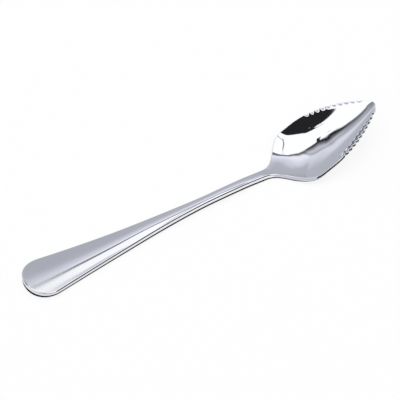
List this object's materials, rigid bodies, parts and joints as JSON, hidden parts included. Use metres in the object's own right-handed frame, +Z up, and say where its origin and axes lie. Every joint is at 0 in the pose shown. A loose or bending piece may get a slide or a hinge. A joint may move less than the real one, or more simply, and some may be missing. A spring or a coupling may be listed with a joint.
{
  "type": "grapefruit spoon",
  "caption": "Stainless steel spoon with a flared handle and a pointed bowl with rounded teeth along both sides of its front rim, for loosening citrus segments.",
  "frame": {"origin": "on the surface that the spoon rests on, under the middle of its bounding box", "axes": "+X from the handle's end to the bowl's tip, +Y across the spoon, +Z up out of the open bowl"},
  "size_m": [0.159, 0.0296, 0.0138],
  "materials": {
    "polished_steel": "bright polished stainless steel"
  },
  "bodies": {
    "root": {"handle": "polished_steel", "bowl": "polished_steel"}
  },
  "joints": []
}
